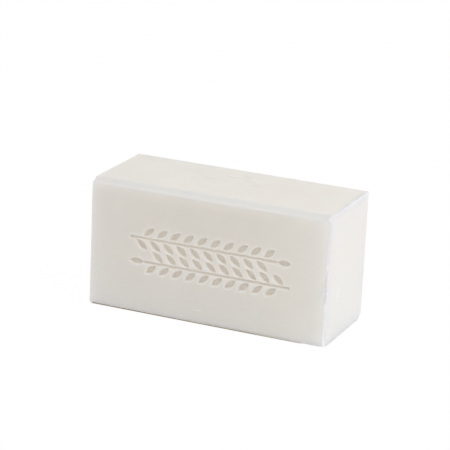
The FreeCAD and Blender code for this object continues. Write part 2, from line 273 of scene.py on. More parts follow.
class SectionOutline:
    """The section across the bar, seen along its length: seven straight runs joined by
    tangent arcs, walked anticlockwise in the plane of Y and Z from the front of the foot.
    A run is its start plus its direction times the way gone; an arc is its centre plus
    its radius at the start angle plus the way gone over the radius."""

    def __init__(self, sizes):
        y, top = sizes.depth / 2, sizes.height
        corners = np.array(
            [
                (-y + sizes.front_foot_run, 0.0),
                (y - sizes.back_foot_run, 0.0),
                (y, sizes.back_foot_rise),
                (y, top),
                (-y + sizes.front_top_run, top),
                (-y, top - sizes.front_top_drop),
                (-y, sizes.front_foot_rise),
            ]
        )
        radius = np.array(
            [
                FOOT_TURN_RADIUS,
                FOOT_TURN_RADIUS,
                sizes.back_foot_blend,
                sizes.back_top_blend,
                sizes.front_top_blend,
                sizes.front_top_blend,
                sizes.front_foot_blend,
            ]
        )
        away = np.roll(corners, -1, 0) - corners
        away /= np.linalg.norm(away, axis=1)[:, None]
        come = np.roll(away, 1, 0)
        turn = np.arccos(np.clip((come * away).sum(1), -1.0, 1.0))
        cut = radius * np.tan(turn / 2)
        arc_start = corners - come * cut[:, None]
        arc_end = corners + away * cut[:, None]
        centre = arc_start + np.stack((-come[:, 1], come[:, 0]), 1) * radius[:, None]
        run_length = np.linalg.norm(np.roll(arc_start, -1, 0) - arc_end, axis=1)
        arc_length = radius * turn
        self.length = float(run_length.sum() + arc_length.sum())
        # Piece 2k is the run that leaves corner k, piece 2k + 1 the arc at the corner after it.
        lengths = np.stack((run_length, np.roll(arc_length, -1)), 1).ravel()
        self.starts = np.concatenate(([0.0], np.cumsum(lengths)[:-1]))
        self.run_from, self.run_way = arc_end, away
        self.centre = np.roll(centre, -1, 0)
        self.radius = np.roll(radius, -1)
        start = np.roll(arc_start - centre, -1, 0)
        self.angle = np.arctan2(start[:, 1], start[:, 0])
        self.arcs = list(zip(self.starts[1::2], self.starts[1::2] + lengths[1::2]))

    def at(self, s):
        """Y, Z and the outward direction's Y and Z at the way s along the outline."""
        s = np.mod(s, self.length)
        piece = np.searchsorted(self.starts, s, side="right") - 1
        k, gone = piece // 2, s - self.starts[piece]
        on_arc = piece % 2 == 1
        angle = self.angle[k] + gone / self.radius[k]
        way_y, way_z = self.run_way[k, 0], self.run_way[k, 1]
        out_y = np.where(on_arc, np.cos(angle), way_z)
        out_z = np.where(on_arc, np.sin(angle), -way_y)
        y, z = (
            np.where(on_arc, self.centre[k, n] + self.radius[k] * out, self.run_from[k, n] + way * gone)
            for n, out, way in ((0, out_y, way_y), (1, out_z, way_z))
        )
        return y, z, out_y, out_z

    def corner_distance(self, s):
        """Way along the outline to the nearest arc, 0 on one. The two slight turns of
        the foot don't count."""
        s = np.mod(s, self.length)
        gaps = [
            np.maximum(np.maximum(start - s, s - end), 0.0)
            for k, (start, end) in enumerate(self.arcs)
            if k not in (0, 6)
        ]
        return np.minimum.reduce(gaps)

    def room(self, s):
        """Largest radius that an edge round an end can have at s without folding over:
        nine tenths of the nearest arc's own radius, and half a unit more for each unit
        of way from that arc."""
        least = np.full(np.shape(s), np.inf)
        for (start, end), radius in zip(self.arcs, self.radius):
            ahead = np.mod(s - (start + end) / 2 + self.length / 2, self.length)
            away = np.abs(ahead - self.length / 2) - (end - start) / 2
            least = np.minimum(least, 0.9 * radius + 0.5 * np.maximum(away, 0.0))
        return least


def leaf_places(stamp):
    """Foot and direction of every leaf of both sprigs, about the stamp's middle. A leaf
    below the upper stem points down its angle, one above points up, the last lies level
    on the stem's end, and the lower sprig is the upper one turned half round."""
    half = (stamp.stem_length + stamp.leaf_length) / 2
    cos, sin = math.cos(stamp.leaf_angle), math.sin(stamp.leaf_angle)
    row = stamp.row_pitch / 2
    k = np.arange(stamp.leaf_count) * stamp.leaf_spacing - half + stamp.leaf_start
    below = np.stack((k, np.full_like(k, row - stamp.leaf_gap)), 1)
    above = np.stack((k + stamp.leaf_stagger, np.full_like(k, row + stamp.leaf_gap)), 1)
    end = np.array([(half - stamp.leaf_length, row)])
    feet = np.concatenate((below, above, end))
    ways = np.array([(cos, -sin)] * len(k) + [(cos, sin)] * len(k) + [(1.0, 0.0)])
    return np.concatenate((feet, -feet)), np.concatenate((ways, -ways))


def pressed_depth(stamp, x, z, height):
    """Depth pressed in at a point of the front, and the way from the nearest outline,
    which is positive inside it. A leaf is the lens between two arcs, and a stem is a
    straight run with round ends. The depth eases in from just outside the outline to
    just inside it, over a width in step with the depth, and the deepest form holds."""
    u, v = x - stamp.shift_along, z - height / 2 - stamp.shift_up
    half, wide = stamp.leaf_length / 2, stamp.leaf_width / 2
    bow = (half * half + wide * wide) / (2 * wide)
    feet, ways = leaf_places(stamp)
    mid_u, mid_v = (feet + ways * half).T[:, :, None, None]
    way_u, way_v = ways.T[:, :, None, None]
    du, dv = u[None] - mid_u, v[None] - mid_v
    along, across = np.abs(du * way_u + dv * way_v), np.abs(dv * way_u - du * way_v)
    off = bow - wide
    past_tip = (along - half) * off > across * half
    leaf = -np.where(past_tip, np.hypot(along - half, across), np.hypot(along, across + off) - bow)
    leaf = leaf.max(0)
    span = (stamp.stem_length + stamp.leaf_length) / 2
    first = -span + stamp.stem_width / 2
    last = first + stamp.stem_length - stamp.stem_width
    stem = np.maximum(
        *(
            stamp.stem_width / 2 - np.hypot(way - np.clip(way, first, last), up - stamp.row_pitch / 2)
            for way, up in ((u, v), (-u, -v))
        )
    )
    slope = PRESS_OUTSIDE + PRESS_INSIDE
    scale = stamp.stem_depth / stamp.leaf_depth
    depth = np.maximum(
        stamp.leaf_depth * ease((leaf + PRESS_OUTSIDE) / slope),
        stamp.stem_depth * ease((stem + PRESS_OUTSIDE * scale) / (slope * scale)),
    )
    return depth, np.maximum(leaf, stem)


class BarSkin:
    """The bar's surface and what its finish needs to know at each point."""

    layers = ("pressed", "rim", "burr", "dark_shade", "edge", "pale", "bevel", "grey_shade", "lit", "flake")

    def __init__(self, sizes, stamp):
        self.sizes, self.stamp = sizes, stamp
        self.outline = SectionOutline(sizes)
        self.half = sizes.length / 2
        self.points, self.marks, self.faces = [], [], []
        self.count = 0

    def faces_met(self, out_y, out_z):
        """How much a point belongs to the top, the front and the back, from 0 to 1."""
        return tuple(ease((out - 0.6) / 0.3) for out in (out_z, -out_y, out_y))

    def folded(self, z, fade):
        """1 at the heights where the burr is folded over the front, easing in above."""
        return ease((FOLD_HIGH - z) / fade) * ease((z - FOLD_LOW) / 0.003)

    def right_edge_radius(self, s):
        """Radius round the edge of the right end: ragged and small along the top and
        half way down the front, larger above and below that and along the back."""
        _, z, out_y, out_z = self.outline.at(s)
        _, front, back = self.faces_met(out_y, out_z)
        ragged = 0.00017 + 0.00008 * crumble(s, 0.0, 0.0007, 3) + 0.00005 * crumble(s, 0.0, 0.00028, 4)
        worn = self.sizes.worn_back_radius * ease((self.sizes.height - z) / 0.002)
        soft = 0.00036 * ease((z - 0.0262) / 0.0015) * ease((self.sizes.height - 0.0012 - z) / 0.002)
        soft = soft + 0.00050 * ease((0.0070 - z) / 0.0035) * ease((z - 0.0004) / 0.0030)
        radius = (ragged + front * soft) * (1.0 - back) + np.maximum(worn, 0.00015) * back
        return np.minimum(np.maximum(radius, 0.00006), self.outline.room(s))

    def section(self, x, s):
        """The outline at the station x. Over the last three millimetres before the right
        end the bevel and its two arcs turn into one bend: the curve of second degree
        from where the bevel leaves the top to where it meets the front, with the corner
        of those two planes as its middle control point."""
        y, z, out_y, out_z = self.outline.at(s)
        start, end = self.outline.arcs[3][0], self.outline.arcs[4][1]
        share = np.clip((np.mod(s, self.outline.length) - start) / (end - start), 0.0, 1.0)
        from_y, _, _, _ = self.outline.at(start)
        _, to_z, _, _ = self.outline.at(end)
        corner_y, corner_z = -self.sizes.depth / 2, self.sizes.height
        bend_y = corner_y + (from_y - corner_y) * (1.0 - share) ** 2
        bend_z = corner_z + (to_z - corner_z) * share**2
        bent = ease((x - self.half + 0.0032) / 0.0028) * ((share > 0.0) & (share < 1.0))
        return y + (bend_y - y) * bent, z + (bend_z - z) * bent, out_y, out_z

    def left_edge_radius(self, s):
        """Radius round the edge of the left end, larger along the top and the bevel."""
        y, z, out_y, out_z = self.outline.at(s)
        top, _, _ = self.faces_met(out_y, out_z)
        corner = ease((z - self.sizes.height + 0.005) / 0.004)
        corner = corner * ease((-y - self.sizes.depth / 2 + 0.009) / 0.008)
        radius = self.sizes.left_end_radius * (1.0 + 1.2 * top + 1.2 * corner)
        return np.minimum(radius, self.outline.room(s))

    def burr_reach(self, s):
        """How far the burr of the cut end reaches over the wall: about half a millimetre
        along the front, a little more along the top, and twice that at its back end."""
        y, z, out_y, out_z = self.outline.at(s)
        top, front, _ = self.faces_met(out_y, out_z)
        uneven = 0.00016 * crumble(s, 0.0, 0.0016, 11) + 0.00009 * crumble(s, 0.0, 0.0005, 12)
        rear = ease((y + 0.013) / 0.013)
        low = ease((0.0145 - z) / 0.003)
        on_front = 0.00014 + 0.00046 * self.folded(z, 0.003) + 0.00022 * low
        reach = top * (0.00036 + 0.00058 * rear) + front * on_front
        reach = reach + uneven * (top * (1.0 + 1.2 * rear) + front * (0.3 + 0.5 * low))
        return np.maximum(reach, 0.00005)

    def finish_end(self, s, past):
        """Sink and finish near the right end. past is the way over the edge: positive
        along the wall, negative across the end face. The burr is a rough strip behind
        which a crack runs, deepest towards the back of the top and half way down the
        front. Painted shade darkens the crack, a fine line under the top edge and a
        faint band below the flake."""
        y, z, out_y, out_z = self.outline.at(s)
        top, front, _ = self.faces_met(out_y, out_z)
        on_end = past < 0.0
        reach = self.burr_reach(s)
        present = np.clip(top + front, 0.0, 1.0) * ease((z - 0.0012) / 0.002)
        line_under = 0.00062 + 0.0003 * ease((0.0 - y) / 0.012)
        below = 0.00032 + top * (line_under - 0.00032 + 0.0002 * ease((y - 0.001) / 0.003))
        strip = ease((reach - past) / 0.00010) * ease((past + below) / 0.00014) * present
        on_wall = ease((reach + 0.0004 - past) / 0.0003)
        rough = 0.00005 * (1.0 + crumble(s, past, 0.00045, 21))
        rough = rough + 0.00002 * (1.0 + crumble(s, past, 0.00022, 22))
        deep_top = 0.00003 + 0.00004 * ease((y + 0.008) / 0.010)
        deep_top = deep_top * (0.7 + 0.6 * crumble(s, 0.0, 0.0011, 23))
        deep_top = deep_top * ease((self.sizes.depth / 2 - 0.0004 - y) / 0.0012)
        uneven = 0.75 + 0.5 * crumble(s, 0.0, 0.0013, 24)
        deep_front = 0.00002 + 0.000055 * self.folded(z, 0.002) * uneven
        deep = np.clip(top * deep_top + front * deep_front, 0.0, 1.0) * present
        gap = bell(past, reach + 0.00012, 0.00011) * (past > 0.0)
        sink = strip * rough * ease((past + below) / 0.0009) + deep * gap
        dark_shade = gap * np.clip(deep / 0.00013, 0.0, 1.0)
        # A second, finer line runs under the front half of the top edge, on the end face; painted shade darkens it.
        under = bell(past, -line_under, 0.00009) * top
        under = under * ease((y + 0.0135) / 0.002) * ease((0.0005 - y) / 0.002) * on_end
        sink = sink + 0.00006 * under
        dark_shade = np.maximum(dark_shade, 0.45 * under)
        # A thin flake stands off the end face below the back half of the top edge.
        flake_foot = 0.0012 + 0.0008 * ease((y - 0.003) / 0.011) + 0.00012 * crumble(s, 0.0, 0.0012, 25)
        flake = ease((past + flake_foot) / 0.00025) * ease(y / 0.004) * top
        flake = np.maximum(flake, top * ease((past + 0.0030) / 0.0024) * 0.5) * on_end
        # Painted shadow of the flake: a faint dark band on the end face just below it.
        shadow = bell(past, -flake_foot - 0.00012, 0.00016) * top * ease((y - 0.001) / 0.004)
        dark_shade = np.maximum(dark_shade, 0.10 * shadow * on_end)
        fading = (1.0 - 0.7 * ease(-past / 0.00025)) * (1.0 - 0.45 * top * ease((y + 0.006) / 0.008))
        flake = np.maximum(flake, strip * on_end)
        return dict(sink=sink, burr=strip * on_wall * fading, dark_shade=dark_shade, flake=flake)

    def shaded(self, s, past):
        """How much grey shade is painted beside the right end: along the front's upper half,
        and on the last two millimetres of the top."""
        y, z, out_y, out_z = self.outline.at(s)
        top, front, _ = self.faces_met(out_y, out_z)
        high = ease((z - 0.0255) / 0.002)
        on_front = 0.44 * high * bell(past, 0.00050, 0.00058)
        on_front = on_front + 0.26 * (1.0 - high) * bell(past, 0.00100, 0.00055)
        on_front = on_front + 0.25 * bell(z, 0.0399, 0.0009) * bell(past, 0.0, 0.0007)
        on_top = (0.42 + 0.14 * ease(y / 0.006)) * bell(past, 0.0009, 0.0012) * (past > 0.0)
        return front * on_front + top * on_top

    def add(self, x, y, z, **marks):
        """Takes a block of points and returns their numbers."""
        x, y, z = np.broadcast_arrays(x, y, z)
        self.points.append(np.stack((x, y, z), -1).reshape(-1, 3))
        columns = [np.broadcast_to(marks.get(name, 0.0), x.shape).ravel() for name in self.layers]
        self.marks.append(np.stack(columns, 1))
        numbers = self.count + np.arange(x.size).reshape(x.shape)
        self.count += x.size
        return numbers

    def worn(self, x, y, z):
        """The worn foot of the right end. Points near the end are drawn back by the
        quarter circle of the worn radius, and the front of the foot lifts a little."""
        radius = self.sizes.worn_foot_radius
        gone = radius - np.sqrt(np.maximum(radius * radius - np.clip(radius - z, 0.0, radius) ** 2, 0.0))
        near = np.clip((x - self.half + 4.0 * radius) / (4.0 * radius), 0.0, 1.0)
        x = x - gone * near
        front = ease((-y - self.sizes.depth / 2 + 0.006) / 0.006)
        lift = 0.00014 * np.clip((x - self.half + 0.004) / 0.004, 0.0, 1.0) ** 2 * front
        z = z + lift * np.clip(1.0 - z / 0.005, 0.0, 1.0)
        return x, z

    def wall(self, x, s):
        """Points of the long sides at the station x and the way s: the outline there,
        sunk by slow waves of the hand-cut faces, by the stamp and by what the worn end
        does to it. Near an end the stations draw up to where its rounded edge starts."""
        y, z, out_y, out_z = self.section(x, s)
        to_right, to_left = (
            np.where(way < END_BAND, radius + way * (END_BAND - radius) / END_BAND, way)
            for way, radius in (
                (self.half - x, self.right_edge_radius(s)),
                (self.half + x, self.left_edge_radius(s)),
            )
        )
        x = np.where(to_left < END_BAND, to_left - self.half, x)
        x = np.where(to_right < END_BAND, self.half - to_right, x)
        x, s = np.broadcast_arrays(x, s)
        top, front, _ = self.faces_met(out_y, out_z)
        calm = ease(self.outline.corner_distance(s) / 0.003)
        waves = 0.5 + 0.25 * crumble(x, s, 0.011, 31) + 0.25 * crumble(x + 0.31, s, 0.0047, 32)
        sink = SKIN_SINK + 0.000045 * waves * calm
        press, inside = pressed_depth(self.stamp, x, z, self.sizes.height)
        press, inside = press * front, np.where(front > 0.5, inside, -1.0)
        # A slight lip stands round the stamp; the same ring carries a painted highlight.
        lip = bell(inside, -0.00045, 0.00025) * front
        sink = np.maximum(sink + press - 0.00003 * lip, 0.0)
        worn = self.finish_end(s, np.maximum(to_right, 0.0))
        sink = sink + worn.pop("sink")
        ends = np.minimum(self.half - x, self.half + x)
        # Painted light: the soap tinted cooler and a little darker near the edges and ends.
        closeness = 0.62 * np.exp(-np.minimum(ends, self.outline.corner_distance(s)) / 0.0009)
        under_bevel = np.clip(self.sizes.height - self.sizes.front_top_drop - z, 0.0, 1.0)
        # Painted light: paler near both ends, where light comes through the soap.
        pale_right = 0.54 * np.exp(-to_right / 0.0040) + 0.34 * np.exp(-to_right / 0.011)
        pale_left = 0.40 * np.exp(-to_left / 0.0070) * ease((to_left + 0.0006) / 0.0016)
        pale = front * np.maximum(pale_right, pale_left)
        pale = np.maximum(pale, top * (1.0 - front) * 0.32 * np.exp(-to_right / 0.0030))
        spread = (0.6 + 0.4 * ease((x + 0.030) / 0.020)) * (1.0 - 0.85 * ease((x - 0.012) / 0.020))
        lit = 0.32 * spread * bell(under_bevel, 0.0014, 0.0015) + 0.04 * np.exp(-under_bevel / 0.005)
        lit = lit + 0.10 * np.exp(-to_left / 0.012) * ease(to_left / 0.0025)
        lit = front * (lit + 0.9 * ease((FOLD_HIGH - z) / 0.002) * bell(to_right, 0.00022, 0.00027))
        # Painted shade: greyer beside the right end and along the rounded back edge of the top.
        rear_edge = np.exp(-np.maximum(self.sizes.depth / 2 - y, 0.0) / 0.0007) * (out_z > 0.2)
        grey_shade = self.shaded(s, np.maximum(to_right, 0.0)) + 0.95 * rear_edge * (y > 0.0)
        bevel = ease(out_z / 0.30) * ease((-out_y - 0.20) / 0.15)
        bevel = bevel * (1.0 - 0.75 * ease((x - self.half + 0.0018) / 0.0014))
        # Painted shade along the front foot, stronger towards the right and gone near the end.
        foot = ease((0.0014 - z) / 0.0006) * (out_y < -0.1) * ease((0.034 - x) / 0.010)
        worn["dark_shade"] = np.maximum(worn["dark_shade"], foot * (0.10 + 0.46 * ease((x + 0.015) / 0.030)))
        y, z = y - out_y * sink, z - out_z * sink
        x, z = self.worn(x, y, z)
        marks = dict(rim=lip, edge=closeness, pale=pale, bevel=bevel, grey_shade=grey_shade, lit=lit, **worn)
        return dict(x=x, y=y, z=z, pressed=press / self.stamp.leaf_depth, **marks)

    def rolled_edge(self, side, turn, s):
        """Points of the rounded edge round an end. At the turn, the outline lies inwards
        by the radius times one less the turn's cosine, and short of the end by the
        radius times one less its sine."""
        y, z, out_y, out_z = self.section(side * self.half, s)
        radius = self.right_edge_radius(s) if side > 0 else self.left_edge_radius(s)
        inward = radius * (1.0 - np.cos(turn))
        x = side * (self.half - radius * (1.0 - np.sin(turn)))
        past = radius * (1.0 - 2.0 * turn / math.pi) * 0.8
        # Painted shade on the rolled edges: near the back at the left end, over the top and beside the cut at the
        # right.
        worn = {"sink": 0.0, "grey_shade": 0.3 * ease((y - self.sizes.depth / 2 + 0.0030) / 0.0020)}
        if side > 0:
            top, front, _ = self.faces_met(out_y, out_z)
            lit = 0.8 * front * ease((FOLD_HIGH - z) / 0.002) * ease(past / 0.0001)
            worn = dict(self.finish_end(s, past), grey_shade=self.shaded(s, past) + 0.65 * top, lit=lit)
        sink = worn.pop("sink") + SKIN_SINK
        y = y - out_y * (inward + sink * np.cos(turn))
        z = z - out_z * (inward + sink * np.cos(turn))
        x = x - side * sink * np.sin(turn)
        if side > 0:
            x, z = self.worn(x, y, z)
        return dict(x=x, y=y, z=z, edge=1.0 if side > 0 else 0.5, **worn)

    def end_face(self, side, share, s):
        """Points of an end face: the rolled edge's last ring drawn towards the middle of
        the face by this share, with slow waves left by the cut."""
        ring = self.rolled_edge(side, math.pi / 2, s)
        middle = self.sizes.height / 2
        off_y, off_z = ring["y"], ring["z"] - middle
        y, z = off_y * (1.0 - share), middle + off_z * (1.0 - share)
        inward = share * np.maximum(np.abs(off_y), np.abs(off_z))
        waves = 0.5 + 0.3 * crumble(y, z, 0.009, 41 + side) + 0.2 * crumble(y, z, 0.0037, 43 + side)
        sink = SKIN_SINK + 0.00005 * waves * ease(inward / 0.002)
        worn = {}
        if side > 0:
            # Painted shade on the end face beside its edge.
            worn = dict(self.finish_end(s, -inward), grey_shade=self.shaded(s, -inward))
            sink = sink + worn.pop("sink")
        x = side * (self.half - sink)
        if side > 0:
            x, z = self.worn(x, y, z)
        _, _, out_y, out_z = self.outline.at(s)
        _, _, back = self.faces_met(out_y, out_z)
        # Painted light: the face tinted cooler and a little darker towards its edge.
        edge = np.exp(-inward / 0.0026) * (1.0 - 0.3 * back)
        return dict(x=x, y=y, z=z, edge=edge if side > 0 else 0.7 * edge, **worn)

    def band(self, low, high):
        """Faces between two rings, the second one further along the bar. Where one ring
        has a multiple of the other's points, each face takes all of them on that side."""
        a, b = len(low), len(high)
        n, k, m = min(a, b), a // min(a, b), b // min(a, b)
        j = np.arange(n)[:, None]
        near = low[(j * k + np.arange(k + 1)) % a]
        far = high[(j * m + np.arange(m + 1)) % b]
        self.faces.append(np.concatenate((near, far[:, ::-1]), 1))

    def build(self):
        """The whole skin: from the middle of the left end over its rolled edge, along the
        walls, over the right end's edge and in to its middle. The stamp lies in a patch
        of the front whose cells are divided, and those of the last stretch before the
        right end are divided round the section."""
        outline, half, cell = self.outline, self.half, self.sizes.cell
        zones = [(start, end, ARC_CELL) for start, end in outline.arcs]
        s = graded(outline.length, zones, cell)[:-1]
        s_fine = np.interp(
            np.arange(len(s) * DIVIDED_CELLS) / DIVIDED_CELLS,
            np.arange(len(s) + 1),
            np.append(s, outline.length),
        )
        ends = [(0.0, 0.0, LEFT_CELL), (2 * half, 2 * half, RIGHT_CELL)]
        x = graded(2 * half, ends, cell) - half
        split = int(np.searchsorted(x, half - DIVIDED_REACH))
        coarse_x, fine_x = x[:split], x[split:]
        left_face, right_face, inner_face = (
            np.array(shares)[:, None] for shares in (LEFT_RINGS, RIGHT_RINGS, RIGHT_INNER_RINGS)
        )
        turns = np.linspace(0.0, math.pi / 2, 6)[1:-1, None]
        rings = list(self.add(**self.end_face(-1, left_face[::-1], s[None])))
        rings += list(self.add(**self.rolled_edge(-1, turns[::-1], s[None])))

        # The patch of small cells that carries the stamp.
        reach = (self.stamp.stem_length + self.stamp.leaf_length) / 2 + 0.0012
        tall = self.stamp.row_pitch / 2 + 0.0048
        i0 = int(np.searchsorted(coarse_x, self.stamp.shift_along - reach)) - 1
        i1 = int(np.searchsorted(coarse_x, self.stamp.shift_along + reach))
        _, z, out_y, _ = outline.at(s)
        over_middle = np.abs(z - self.sizes.height / 2 - self.stamp.shift_up)
        on_front = np.flatnonzero((out_y < -0.999) & (over_middle < tall))
        j0, j1 = int(on_front[0]) - 1, int(on_front[-1]) + 1
        k = STAMP_CELLS
        patch_x, patch_s = (
            np.interp(np.arange((last - first) * k + 1) / k, np.arange(last - first + 1), places[first : last + 1])
            for first, last, places in ((i0, i1, coarse_x), (j0, j1, s))
        )
        patch = self.add(**self.wall(patch_x[:, None], patch_s[None]))
        field = self.wall(coarse_x[:, None], s[None])
        numbers = np.full((len(coarse_x), len(s)), -1)
        numbers[i0 : i1 + 1, j0 : j1 + 1] = patch[::k, ::k]
        rest = numbers < 0
        field = {name: np.broadcast_to(value, rest.shape)[rest] for name, value in field.items()}
        numbers[rest] = self.add(**field)
        next_j = np.roll(numbers, -1, 1)
        cells = np.stack((numbers[:-1], next_j[:-1], next_j[1:], numbers[1:]), -1)
        plain = np.ones(cells.shape[:2], bool)
        plain[i0 - 1 : i1 + 1, j0:j1] = False
        plain[i0:i1, j0 - 1 : j1 + 1] = False
        self.faces.append(cells[plain])
        cells = np.stack((patch[:-1, :-1], patch[:-1, 1:], patch[1:, 1:], patch[1:, :-1]), -1)
        self.faces.append(cells.reshape(-1, 4))

        # Round the patch, each plain cell takes the points of one side of a divided cell.
        step = np.arange(k + 1)
        along, across = np.arange(i1 - i0)[:, None] * k, np.arange(j1 - j0)[:, None] * k
        near_x, far_x, near_s, far_s = slice(i0, i1), slice(i0 + 1, i1 + 1), slice(j0, j1), slice(j0 + 1, j1 + 1)
        for first, second, side in (
            (numbers[near_x, j1 + 1], numbers[far_x, j1 + 1], patch[along + step[::-1], -1]),
            (numbers[far_x, j0 - 1], numbers[near_x, j0 - 1], patch[along + step, 0]),
            (numbers[i1 + 1, far_s], numbers[i1 + 1, near_s], patch[-1, across + step]),
            (numbers[i0 - 1, near_s], numbers[i0 - 1, far_s], patch[0, across + step[::-1]]),
        ):
            self.faces.append(np.concatenate((first[:, None], second[:, None], side), 1))

        for low, high in zip(rings[:-1], rings[1:]):
            self.band(low, high)
        self.band(rings[-1], numbers[0])
        rings_right = [numbers[-1]]
        rings_right += list(self.add(**self.wall(fine_x[:, None], s_fine[None])))
        rings_right += list(self.add(**self.rolled_edge(1, turns, s_fine[None])))
        rings_right += list(self.add(**self.end_face(1, right_face, s_fine[None])))
        rings_right += list(self.add(**self.end_face(1, inner_face, s[None])))
        for low, high in zip(rings_right[:-1], rings_right[1:]):
            self.band(low, high)

        middle = self.sizes.height / 2
        for side_way, ring in ((-1, rings[0]), (1, rings_right[-1])):
            centre = int(self.add(side_way * (half - END_DIMPLE), 0.0, middle))
            pair = np.stack((ring, np.roll(ring, -1)), 1)
            if side_way < 0:
                pair = pair[:, ::-1]
            self.faces.append(np.concatenate((pair, np.full((len(ring), 1), centre)), 1))
        return np.concatenate(self.points), np.concatenate(self.marks), self.faces


def closed_mesh(name, points, faces):
    """A smooth mesh from points and blocks of faces, each block with one number of corners."""
    mesh = bpy.data.meshes.new(name)
    sides = np.concatenate([np.full(len(block), block.shape[1]) for block in faces])
    corners = np.concatenate([block.ravel() for block in faces])
    mesh.vertices.add(len(points))
    mesh.vertices.foreach_set("co", points.astype(np.float32).ravel())
    mesh.loops.add(len(corners))
    mesh.loops.foreach_set("vertex_index", corners.astype(np.int32))
    mesh.polygons.add(len(sides))
    mesh.polygons.foreach_set("loop_start", np.concatenate(([0], np.cumsum(sides)[:-1])).astype(np.int32))
    mesh.update(calc_edges=True)
    mesh.polygons.foreach_set("use_smooth", np.ones(len(sides), bool))
    if mesh.validate():
        raise RuntimeError(f"{name}: the surface has faces that can't stand")
    mesh.update()
    return mesh


class Bench:
    """A material's node tree with short calls that add a node and wire it."""

    def __init__(self, name):
        self.material = bpy.data.materials.new(name)
        self.material.use_nodes = True
        self.tree = self.material.node_tree
        self.tree.nodes.clear()

    def node(self, kind, inputs=None, **settings):
        """A node of this kind. An input is a socket to wire or a value to set."""
        node = self.tree.nodes.new(kind)
        for key, value in settings.items():
            setattr(node, key, value)
        for key, value in (inputs or {}).items():
            self.feed(node.inputs[key], value)
        return node

    def feed(self, socket, value):
        if isinstance(value, bpy.types.NodeSocket):
            self.tree.links.new(value, socket)
        elif hasattr(value, "__len__") and socket.type == "RGBA" and len(value) == 3:
            socket.default_value = (*value, 1.0)
        else:
            socket.default_value = value

    def sum(self, kind, a, b=0.5, c=0.5, clamp=False):
        """One step of arithmetic on single numbers."""
        node = self.tree.nodes.new("ShaderNodeMath")
        node.operation, node.use_clamp = kind, clamp
        for socket, value in zip(node.inputs, (a, b, c)):
            self.feed(socket, value)
        return node.outputs[0]

    def times(self, *values):
        """The product of two or more numbers."""
        product = values[0]
        for value in values[1:]:
            product = self.sum("MULTIPLY", product, value)
        return product

    def vector(self, kind, a, b=(0.0, 0.0, 0.0), scale=None):
        """One step of arithmetic on vectors. A length or a dot product is one number."""
        node = self.tree.nodes.new("ShaderNodeVectorMath")
        node.operation = kind
        self.feed(node.inputs[0], a)
        self.feed(node.inputs[1], b)
        if scale is not None:
            self.feed(node.inputs["Scale"], scale)
        return node.outputs["Value" if kind in ("LENGTH", "DOT_PRODUCT", "DISTANCE") else "Vector"]

    def ramp(self, value, start, end, low=0.0, high=1.0, smooth=True):
        """Takes the value from start to end over to low and high, eased."""
        node = self.node(
            "ShaderNodeMapRange",
            {"Value": value, "From Min": start, "From Max": end, "To Min": low, "To Max": high},
            interpolation_type="SMOOTHSTEP" if smooth else "LINEAR",
        )
        return node.outputs["Result"]

    def mix(self, share, a, b, blend="MIX"):
        """Colour a, with this share of b over it."""
        node = self.tree.nodes.new("ShaderNodeMix")
        node.data_type, node.blend_type = "RGBA", blend
        self.feed(node.inputs["Factor"], share)
        self.feed(node.inputs[6], a)
        self.feed(node.inputs[7], b)
        return node.outputs[2]

    def tint(self, share, a, b):
        """Colour a, multiplied by b as far as this share."""
        return self.mix(share, a, b, "MULTIPLY")

    def layer(self, name):
        """One of the numbers kept at the points of the piece."""
        return self.node("ShaderNodeAttribute", attribute_name=name).outputs["Fac"]

    def noise(self, place, scale, detail=2.0, roughness=0.5, distortion=0.0):
        """Soft noise with its middle at a half."""
        node = self.node(
            "ShaderNodeTexNoise",
            {"Vector": place, "Scale": scale, "Detail": detail, "Roughness": roughness, "Distortion": distortion},
        )
        return node.outputs["Fac"]

    def stretched(self, place, scale, shift=(0.0, 0.0, 0.0)):
        """Object coordinates drawn out by a different scale each way."""
        return self.node("ShaderNodeMapping", {"Vector": place, "Scale": scale, "Location": shift}).outputs["Vector"]

    def stroke(self, place, start, end, width):
        """1 on the straight line between two points, easing to 0 at half the width."""
        way = Vector(end) - Vector(start)
        gone = self.vector("SUBTRACT", place, tuple(start))
        share = self.sum("DIVIDE", self.vector("DOT_PRODUCT", gone, tuple(way)), way.length_squared, clamp=True)
        nearest = self.vector("SCALE", tuple(way), scale=share)
        off = self.vector("DISTANCE", gone, nearest)
        return self.ramp(off, width / 2, 0.0)


def tinted(colour, tint):
    """The colour times the tint, channel by channel, held at 1."""
    return [min(1.0, c * t) for c, t in zip(colour, tint)]


